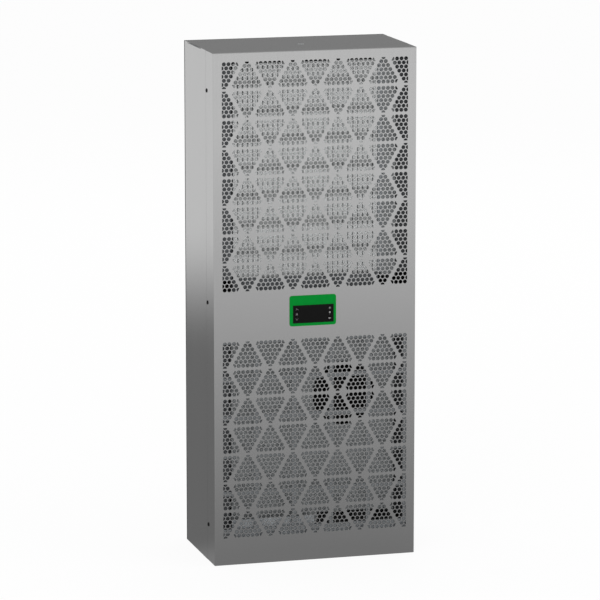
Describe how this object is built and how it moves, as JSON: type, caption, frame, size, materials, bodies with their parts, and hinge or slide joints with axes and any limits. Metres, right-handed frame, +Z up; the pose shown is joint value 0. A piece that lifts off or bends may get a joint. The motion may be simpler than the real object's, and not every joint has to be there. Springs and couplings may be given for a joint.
{
  "type": "enclosure cooling unit",
  "caption": "Slim wall-mounted cooling unit for an electrical enclosure, with a punched sheet-metal face, a display with keys, fans, coils and a compressor.",
  "frame": {"origin": "middle of the footprint, on the plane that the case stands on", "axes": "+Z up, the punched face looks towards -Y, +Y towards the enclosure, +X to the right as seen from the front"},
  "size_m": [0.373, 0.2098, 0.915],
  "materials": {
    "cover_steel": "satin",
    "zinc_plate": "satin",
    "display_green": "satin",
    "window_black": "gloss",
    "key_black": "matte",
    "controller_black": "matte",
    "gasket_foam": "matte",
    "screw_black": "satin",
    "screw_zinc": "satin",
    "fin_aluminium": "satin",
    "tube_copper": "satin",
    "fan_aluminium": "matte",
    "rotor_plastic": "matte",
    "stator_copper": "satin",
    "compressor_black": "gloss",
    "rubber_black": "matte",
    "board_green": "satin",
    "capacitor_can": "satin",
    "socket_plastic": "matte"
  },
  "bodies": {
    "casing": {"front_panel": "cover_steel", "cover_frame": "cover_steel", "cover_screws": "screw_black", "rear_housing": "cover_steel", "back_plate": "zinc_plate", "rear_gasket": "gasket_foam", "lifting_insert": "screw_zinc", "rear_inserts": "screw_zinc", "partition_plate": "zinc_plate", "base_tray": "zinc_plate", "display_bezel": "display_green", "display_window": "window_black", "controller_case": "controller_black", "filter_grid": "zinc_plate", "fan_panel": "zinc_plate", "fan_box_left": "zinc_plate", "fan_box_right": "zinc_plate", "condenser_fan_frame": "fan_aluminium", "condenser_fan_stator": "stator_copper", "condenser_fan_screws": "screw_zinc", "condenser_fins": "fin_aluminium", "condenser_tubes": "tube_copper", "condenser_plate_left": "zinc_plate", "condenser_plate_right": "zinc_plate", "coil_side_cover": "zinc_plate", "compressor_body": "compressor_black", "compressor_base": "compressor_black", "compressor_grommets": "rubber_black", "compressor_bolts": "screw_zinc", "compressor_terminal_cover": "socket_plastic", "suction_accumulator": "compressor_black", "discharge_pipe": "tube_copper", "liquid_pipe": "tube_copper", "filter_drier": "tube_copper", "capillary_pipe": "tube_copper", "suction_pipe": "tube_copper", "evaporator_fins": "fin_aluminium", "evaporator_tubes": "tube_copper", "evaporator_plate_left": "zinc_plate", "evaporator_plate_right": "zinc_plate", "evaporator_fan_frame": "fan_aluminium", "evaporator_fan_stator": "stator_copper", "evaporator_fan_screws": "screw_zinc", "condensate_tray": "zinc_plate", "drain_spout": "socket_plastic", "electrical_box": "zinc_plate", "relay_board": "board_green", "run_capacitor": "capacitor_can", "power_socket": "socket_plastic", "power_pins": "screw_zinc"},
    "condenser_fan_rotor_body": {"condenser_fan_rotor": "rotor_plastic"},
    "evaporator_fan_rotor_body": {"evaporator_fan_rotor": "rotor_plastic"},
    "key_up_cap": {"key_up": "key_black"},
    "key_down_cap": {"key_down": "key_black"},
    "key_defrost_cap": {"key_defrost": "key_black"},
    "key_light_cap": {"key_light": "key_black"},
    "key_power_cap": {"key_power": "key_black"},
    "key_set_cap": {"key_set": "key_black"}
  },
  "joints": [
    {"name": "condenser_fan_spin", "type": "hinge", "parent": "casing", "child": "condenser_fan_rotor_body", "pos_m": [0.0597, -0.05715, 0.296], "axis": [0, 1, 0], "continuous": true},
    {"name": "evaporator_fan_spin", "type": "hinge", "parent": "casing", "child": "evaporator_fan_rotor_body", "pos_m": [0, 0.07685, 0.77], "axis": [0, 1, 0], "continuous": true},
    {"name": "key_up_press", "type": "slide", "parent": "casing", "child": "key_up_cap", "axis": [0, 1, 0], "range_m": [0, 0.0005], "stiffness_N_per_m": 300},
    {"name": "key_down_press", "type": "slide", "parent": "casing", "child": "key_down_cap", "axis": [0, 1, 0], "range_m": [0, 0.0005], "stiffness_N_per_m": 300},
    {"name": "key_defrost_press", "type": "slide", "parent": "casing", "child": "key_defrost_cap", "axis": [0, 1, 0], "range_m": [0, 0.0005], "stiffness_N_per_m": 300},
    {"name": "key_light_press", "type": "slide", "parent": "casing", "child": "key_light_cap", "axis": [0, 1, 0], "range_m": [0, 0.0005], "stiffness_N_per_m": 300},
    {"name": "key_power_press", "type": "slide", "parent": "casing", "child": "key_power_cap", "axis": [0, 1, 0], "range_m": [0, 0.0005], "stiffness_N_per_m": 300},
    {"name": "key_set_press", "type": "slide", "parent": "casing", "child": "key_set_cap", "axis": [0, 1, 0], "range_m": [0, 0.0005], "stiffness_N_per_m": 300}
  ]
}
